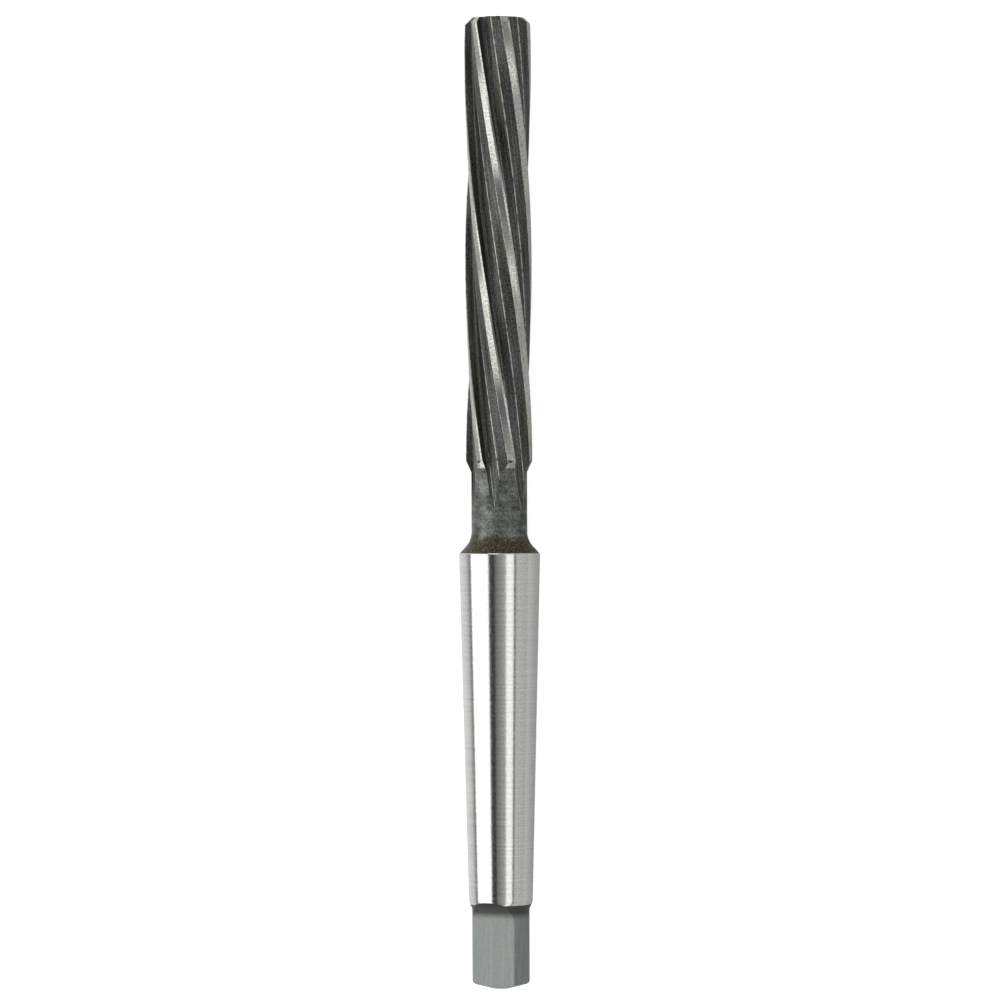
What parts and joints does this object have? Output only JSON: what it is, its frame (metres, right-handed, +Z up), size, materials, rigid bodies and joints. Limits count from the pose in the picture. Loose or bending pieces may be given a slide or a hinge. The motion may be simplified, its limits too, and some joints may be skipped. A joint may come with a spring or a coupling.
{
  "type": "machine reamer",
  "caption": "One-piece hole-finishing tool with a tapered shank, a flat tang and a long fluted cutting end whose teeth run round it in a left-hand helix.",
  "frame": {"origin": "on the tool's axis, in the gauge plane of the taper shank, where the taper is 12.065 mm in diameter", "axes": "+Y along the axis towards the cutting end, +Z up from the surface the tool lies on"},
  "size_m": [0.0122, 0.146, 0.0122],
  "materials": {
    "high_speed_steel": "ground bright on the shank and the lands, dark in the flutes and on the neck"
  },
  "bodies": {
    "root": {"machine_reamer": "high_speed_steel"}
  },
  "joints": []
}
